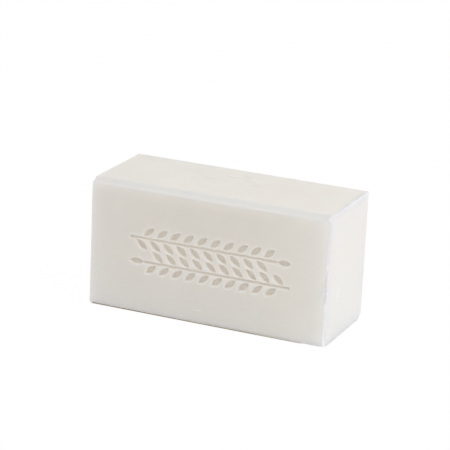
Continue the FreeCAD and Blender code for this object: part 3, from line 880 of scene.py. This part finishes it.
def soap_material(finish, sizes):
    """Pale, slightly see-through soap, warm in the thick. Painted light makes it lighter
    and greyer where it is thin, near the ends and along the edges, cools the top and
    puts a painted highlight round the impressions; the freshly cut end has its own
    paler colour with painted cool light in it. Painted shade makes the impressions'
    floors beige and greys the lowest part and the lower part of the cut end; painted
    shade and reflection grey the bevel; painted shade darkens the soap beside the cut
    end, in the crack and along the foot. It is lavender white on the dry burr, with
    faint clouds, drawn-out streaks on the top and a few small marks."""
    bench = Bench("soap")
    place = bench.node("ShaderNodeTexCoord").outputs["Object"]
    axes = bench.node("ShaderNodeSeparateXYZ", {"Vector": place}).outputs
    front, top, end = -sizes.depth / 2, sizes.height, sizes.length / 2

    clouds = bench.noise(place, 95.0, 4.0, 0.55)
    grain = bench.noise(place, 1400.0, 3.0, 0.6)
    dark, light, rosy = (tinted(finish.soap, tint) for tint in (CLOUD_DARK, CLOUD_LIGHT, CLOUD_ROSY))
    colour = bench.mix(bench.ramp(clouds, 0.3, 0.7), dark, light)
    patches = bench.noise(bench.stretched(place, (1.0, 1.0, 1.0), (0.37, 0.11, 0.53)), 160.0, 2.0, 0.5)
    colour = bench.mix(bench.ramp(patches, 0.45, 0.75, 0.0, 0.35), colour, rosy)

    # Wood-like streaks drawn along the top, strongest left of its middle towards the back.
    ripple = bench.noise(bench.stretched(place, (260.0, 170.0, 1.0)), 1.0, 2.5, 0.55)
    bent = bench.sum("MULTIPLY_ADD", ripple, 0.0034, axes["Y"])
    bent_place = bench.node("ShaderNodeCombineXYZ", {"X": axes["X"], "Y": bent, "Z": 0.0}).outputs["Vector"]
    lines = bench.noise(bench.stretched(bent_place, (190.0, 760.0, 1.0)), 1.0, 3.0, 0.6)
    on_top = bench.ramp(axes["Z"], top - 0.0006, top - 0.0002)
    middle = bench.times(bench.ramp(axes["X"], -0.019, -0.009), bench.ramp(axes["X"], 0.014, 0.004))
    back_half = bench.times(bench.ramp(axes["Y"], -0.003, 0.004), bench.ramp(axes["Y"], 0.0135, 0.0095))
    zone = bench.sum("ADD", 0.14, bench.times(middle, back_half, 0.86))
    streaks = bench.times(bench.ramp(lines, 0.50, 0.66), zone, on_top)
    colour = bench.mix(bench.times(streaks, 0.55), colour, finish.streak)
    pale_lines = bench.times(bench.ramp(lines, 0.46, 0.34), zone, on_top)
    colour = bench.mix(bench.times(pale_lines, 0.45), colour, finish.pale)
    warm = bench.times(
        bench.ramp(axes["X"], 0.004, 0.014),
        bench.ramp(axes["X"], 0.034, 0.024),
        bench.ramp(axes["Y"], -0.011, -0.004),
        bench.ramp(axes["Y"], 0.013, 0.007),
    )
    colour = bench.tint(bench.times(warm, on_top), colour, TOP_WARM)

    # Painted shade: greyer and darker over the lowest two centimetres.
    colour = bench.mix(bench.ramp(axes["Z"], 0.020, 0.0, 0.0, 0.45), colour, finish.low)
    # The cut right end has its own paler colour, which also carries painted cool light.
    fresh = bench.ramp(axes["X"], end - 0.0015, end - 0.0002)
    colour = bench.mix(bench.times(fresh, 0.85), colour, finish.cut)
    # Painted shade: the lower part of the right end greyer.
    end_low_shade = bench.times(fresh, bench.ramp(axes["Z"], 0.026, 0.002))
    colour = bench.tint(end_low_shade, colour, END_LOW_SHADE)
    # Painted light: the whole top tinted cooler.
    colour = bench.tint(on_top, colour, TOP_COOL_LIGHT)
    # Painted light: paler near the ends, where light comes through the soap.
    colour = bench.mix(bench.layer("pale"), colour, finish.pale)
    glow = bench.times(bench.ramp(axes["X"], 0.010, 0.036), bench.sum("SUBTRACT", 1.0, on_top))
    colour = bench.tint(glow, colour, RIGHT_GLOW)
    # Painted light: cooler and a little darker along the edges.
    colour = bench.tint(bench.layer("edge"), colour, finish.edge)
    # Painted shade and reflection: the bevel greyer.
    colour = bench.mix(bench.times(bench.layer("bevel"), 0.9), colour, finish.bevel)
    # Painted highlight: a lighter ring round the impressions.
    colour = bench.mix(bench.times(bench.layer("rim"), 0.25), colour, finish.pale)
    # Painted shade: the floors of the impressions warmer and darker.
    colour = bench.mix(bench.ramp(bench.layer("pressed"), 0.05, 0.9, 0.0, 0.8), colour, finish.pressed)

    # Small marks: a shaving line and a light scratch on the front, a streak on the right end.
    shaving = bench.stroke(place, (0.0390, front, 0.0203), (0.03715, front, 0.0151), 0.0011)
    colour = bench.mix(bench.times(shaving, 0.5), colour, finish.shaving)
    scratch = bench.stroke(place, (-0.0039, front, 0.0046), (-0.0012, front, 0.0047), 0.0005)
    smear = bench.stroke(place, (end, -0.0056, 0.0162), (end, -0.0080, 0.0138), 0.0018)
    nick = bench.stroke(place, (end, -0.0106, 0.0285), (end, -0.0118, 0.0268), 0.0010)
    smears = bench.times(bench.sum("MAXIMUM", smear, bench.times(nick, 0.6)), 0.8)
    light_marks = bench.sum("MAXIMUM", scratch, smears)
    for x, z in SPECKS:
        speck = bench.ramp(bench.vector("DISTANCE", place, (x, front, z)), 0.00026, 0.00008)
        light_marks = bench.sum("MAXIMUM", light_marks, speck)
    colour = bench.mix(bench.times(light_marks, 0.6), colour, LIGHT_MARK)

    # Faint lines that the cut drew over the right end, sloping down towards the front.
    slope = (math.radians(-34.0), 0.0, 0.0)
    sloped = bench.node("ShaderNodeMapping", {"Vector": place, "Rotation": slope}).outputs["Vector"]
    drawn = bench.noise(bench.stretched(sloped, (1.0, 90.0, 900.0)), 1.0, 2.0, 0.5)
    colour = bench.tint(bench.times(fresh, bench.ramp(drawn, 0.35, 0.65)), colour, BRUSHED)
    colour = bench.mix(bench.times(bench.layer("flake"), 0.8), colour, finish.shaving)
    # Painted shade: greyer beside the cut end and along the back edge of the top.
    colour = bench.tint(bench.times(bench.layer("grey_shade"), 0.6), colour, finish.grey_shade)

    crumbs = bench.ramp(bench.noise(place, 3200.0, 2.0, 0.6), 0.35, 0.65, 0.75, 1.0)
    bits = bench.ramp(bench.noise(place, 1500.0, 2.0, 0.6), 0.38, 0.62)
    crumb_colour = bench.mix(bits, tinted(finish.burr, CRUMB_DARK), tinted(finish.burr, CRUMB_LIGHT))
    colour = bench.mix(bench.times(bench.layer("burr"), crumbs), colour, crumb_colour)
    # More of the same painted grey shade, over the burr as well.
    colour = bench.tint(bench.times(bench.layer("grey_shade"), 0.3), colour, finish.grey_shade)
    # Painted shade: dark in the crack, under the top edge, below the flake and along the front foot.
    colour = bench.mix(bench.times(bench.layer("dark_shade"), 0.75), colour, finish.dark_shade)
    colour = bench.tint(bench.layer("lit"), colour, LIT_SOAP)
    colour = bench.tint(bench.ramp(grain, 0.3, 0.7, 0.0, 0.5), colour, GRAINY)

    height = bench.sum("MULTIPLY_ADD", grain, 0.35, bench.times(streaks, -0.5))
    height = bench.sum("MULTIPLY_ADD", bench.noise(place, 420.0, 2.0), 0.8, height)
    height = bench.sum("MULTIPLY_ADD", bench.times(bench.layer("burr"), crumbs), 1.2, height)
    height = bench.sum("MULTIPLY_ADD", shaving, 0.4, height)
    bump = bench.node("ShaderNodeBump", {"Strength": 0.35, "Distance": 0.00006, "Height": height})
    polish = bench.ramp(bench.layer("bevel"), 0.0, 1.0, 0.46, 0.36)
    polish = bench.sum("MULTIPLY_ADD", bench.layer("burr"), -0.06, polish)
    polish = bench.sum("MULTIPLY_ADD", clouds, 0.06, polish)
    soap = bench.node(
        "ShaderNodeBsdfPrincipled",
        {
            "Base Color": colour,
            "Roughness": polish,
            "IOR": 1.46,
            "Subsurface Weight": 1.0,
            "Subsurface Radius": (1.0, 0.95, 0.9),
            "Subsurface Scale": 0.0030,
            "Normal": bump.outputs["Normal"],
        },
    )
    bench.node("ShaderNodeOutputMaterial", {"Surface": soap.outputs["BSDF"]})
    return bench.material


class SOAP_OT_press_bar(bpy.types.Operator):
    """Make the bar of soap with its stamp, in place of the plain solid"""

    bl_idname = "soap.press_bar"
    bl_label = "Press Bar"
    bl_options = {"REGISTER", "UNDO"}

    def execute(self, context):
        sizes, stamp = context.scene.soap_bar_sizes, context.scene.leaf_stamp_sizes
        points, marks, faces = BarSkin(sizes, stamp).build()
        mesh = closed_mesh("bar", points, faces)
        for number, name in enumerate(BarSkin.layers):
            layer = mesh.attributes.new(name, "FLOAT", "POINT")
            layer.data.foreach_set("value", marks[:, number].astype(np.float32))
        mesh.materials.append(soap_material(context.scene.soap_finish, sizes))
        bar = bpy.data.objects.new("bar", mesh)
        context.scene.collection.objects.link(bar)
        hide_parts("soap_bar")
        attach(bar, "root")
        return {"FINISHED"}


def camera_axes(stage):
    """Right, up and back of the camera: back points from the aim to the camera at its
    azimuth and elevation, right is level, and both right and up turn by the roll."""
    a, e, r = stage.azimuth, stage.elevation, stage.roll
    back = Vector((math.sin(a) * math.cos(e), -math.cos(a) * math.cos(e), math.sin(e)))
    right = Vector((math.cos(a), math.sin(a), 0.0))
    up = back.cross(right)
    return right * math.cos(r) + up * math.sin(r), up * math.cos(r) - right * math.sin(r), back


def soft_lamp(name, way, distance, width, power):
    """A large square lamp that faces the bar from this way."""
    lamp = bpy.data.lights.new(name, "AREA")
    lamp.shape, lamp.size, lamp.energy, lamp.color = "SQUARE", width, power, WHITE
    thing = bpy.data.objects.new(name, lamp)
    place = Vector((0.0, 0.0, 0.02)) + Vector(way).normalized() * distance
    turned = Vector(way).to_track_quat("Z", "Y").to_matrix().to_4x4()
    thing.matrix_world = Matrix.Translation(place) @ turned
    bpy.context.scene.collection.objects.link(thing)


def floor_material(stage, sizes):
    """Pale floor that takes the bar's shadow. Seen by the camera, or in a reflection, it
    is mostly plain white, but under the bar it shows a painted shadow, brown at the
    left and lighter towards the right end and the back."""
    bench = Bench("studio floor")
    plain = bench.node("ShaderNodeBsdfDiffuse", {"Color": tuple(stage.floor)})
    white = bench.node("ShaderNodeEmission", {"Strength": 1.0})
    place = bench.node("ShaderNodeTexCoord").outputs["Object"]
    axes = bench.node("ShaderNodeSeparateXYZ", {"Vector": place}).outputs
    along = bench.sum("ABSOLUTE", bench.sum("ADD", axes["X"], 0.0006))
    corner = bench.times(bench.ramp(axes["Y"], 0.0, 0.014), bench.ramp(axes["X"], 0.0, 0.030, 0.0, 0.007))
    over_x = bench.sum("ADD", bench.sum("SUBTRACT", along, sizes.length / 2 - 0.0009), corner)
    lit_under = bench.ramp(axes["X"], -0.030, 0.030, 0.00096, 0.00122, smooth=False)
    lit_under = bench.sum("ADD", lit_under, bench.ramp(axes["X"], 0.0310, 0.0365, 0.0, 0.0030))
    before = bench.sum("SUBTRACT", bench.sum("SUBTRACT", lit_under, axes["Y"]), sizes.depth / 2)
    behind = bench.ramp(axes["Y"], sizes.depth / 2 - 0.0052, sizes.depth / 2 - 0.0016)
    open_floor = bench.ramp(bench.sum("MAXIMUM", over_x, before), -0.0003, 0.0004)
    open_floor = bench.sum("MAXIMUM", open_floor, behind)
    # Painted shadow under the bar: brown at the left, lighter to the right and towards the back.
    shade = bench.mix(bench.ramp(axes["X"], 0.014, 0.036, smooth=False), SHADOW_LEFT, SHADOW_RIGHT)
    shade = bench.mix(bench.ramp(axes["Y"], -0.012, 0.004), shade, SHADOW_BACK)
    path = bench.node("ShaderNodeLightPath").outputs
    seen = bench.sum("MAXIMUM", path["Is Glossy Ray"], path["Is Transmission Ray"])
    seen = bench.sum("MAXIMUM", path["Is Camera Ray"], seen)
    bench.feed(white.inputs["Color"], bench.mix(open_floor, shade, WHITE))
    share = bench.times(seen, 0.988)
    both = bench.node("ShaderNodeMixShader", {0: share, 1: plain.outputs[0], 2: white.outputs[0]})
    bench.node("ShaderNodeOutputMaterial", {"Surface": both.outputs[0]})
    return bench.material


class SOAP_OT_set_stage(bpy.types.Operator):
    """Set the camera, the soft lamps, the room light and the pale floor"""

    bl_idname = "soap.set_stage"
    bl_label = "Set Stage"
    bl_options = {"REGISTER", "UNDO"}

    def execute(self, context):
        scene, stage, sizes = context.scene, context.scene.soap_stage, context.scene.soap_bar_sizes
        right, up, back = camera_axes(stage)
        lens = bpy.data.cameras.new("camera")
        lens.lens, lens.sensor_width, lens.clip_start, lens.clip_end = stage.lens, 36.0, 0.01, 50.0
        camera = bpy.data.objects.new("camera", lens)
        turned = Matrix((right, up, back)).transposed().to_4x4()
        camera.matrix_world = Matrix.Translation(Vector(stage.aim) + back * stage.distance) @ turned
        scene.collection.objects.link(camera)
        scene.camera = camera

        soft_lamp("key lamp", KEY_WAY, KEY_DISTANCE, KEY_WIDTH, stage.key_power)
        soft_lamp("fill lamp", FILL_WAY, FILL_DISTANCE, FILL_WIDTH, stage.fill_power)

        half = stage.floor_width / 2
        mesh = bpy.data.meshes.new("studio floor")
        corners = ((-half, -half), (half, -half), (half, half), (-half, half))
        mesh.from_pydata([(x, y, FLOOR_LEVEL) for x, y in corners], [], [(0, 1, 2, 3)])
        mesh.materials.append(floor_material(stage, sizes))
        floor = bpy.data.objects.new("studio_floor", mesh)
        scene.collection.objects.link(floor)

        world = bpy.data.worlds.new("studio")
        world.use_nodes = True
        nodes, links = world.node_tree.nodes, world.node_tree.links
        nodes.clear()
        room, seen, path, mix, out = (
            nodes.new("ShaderNode" + kind)
            for kind in ("Background", "Background", "LightPath", "MixShader", "OutputWorld")
        )
        for background, strength in ((room, stage.world_strength), (seen, 1.0)):
            background.inputs["Color"].default_value = (*WHITE, 1.0)
            background.inputs["Strength"].default_value = strength
        links.new(path.outputs["Is Camera Ray"], mix.inputs[0])
        links.new(room.outputs[0], mix.inputs[1])
        links.new(seen.outputs[0], mix.inputs[2])
        links.new(mix.outputs[0], out.inputs["Surface"])
        scene.world = world
        scene.view_settings.view_transform = "Standard"
        return {"FINISHED"}


class SOAP_PT_panel(bpy.types.Panel):
    """Sizes and colours of the bar, and the buttons that make it"""

    bl_idname = "SOAP_PT_panel"
    bl_label = "Bar of Soap"
    bl_space_type = "VIEW_3D"
    bl_region_type = "UI"
    bl_category = "Soap"

    def draw(self, context):
        layout, scene = self.layout, context.scene
        for operator, group in (
            (SOAP_OT_press_bar, scene.soap_bar_sizes),
            (None, scene.leaf_stamp_sizes),
            (None, scene.soap_finish),
            (SOAP_OT_set_stage, scene.soap_stage),
        ):
            if operator:
                layout.operator(operator.bl_idname)
            box = layout.box()
            for name in group.__annotations__:
                box.prop(group, name)


CLASSES = (
    SoapBarSizes,
    LeafStampSizes,
    SoapFinish,
    SoapStage,
    SOAP_OT_press_bar,
    SOAP_OT_set_stage,
    SOAP_PT_panel,
)


GROUPS = {
    "soap_bar_sizes": SoapBarSizes,
    "leaf_stamp_sizes": LeafStampSizes,
    "soap_finish": SoapFinish,
    "soap_stage": SoapStage,
}


def register():
    for each in CLASSES:
        bpy.utils.register_class(each)
    for name, group in GROUPS.items():
        setattr(bpy.types.Scene, name, bpy.props.PointerProperty(type=group))


def unregister():
    for name in reversed(GROUPS):
        delattr(bpy.types.Scene, name)
    for each in reversed(CLASSES):
        bpy.utils.unregister_class(each)


def main():
    register()
    bpy.ops.soap.press_bar()
    bpy.ops.soap.set_stage()


if __name__ == "__main__":
    main()
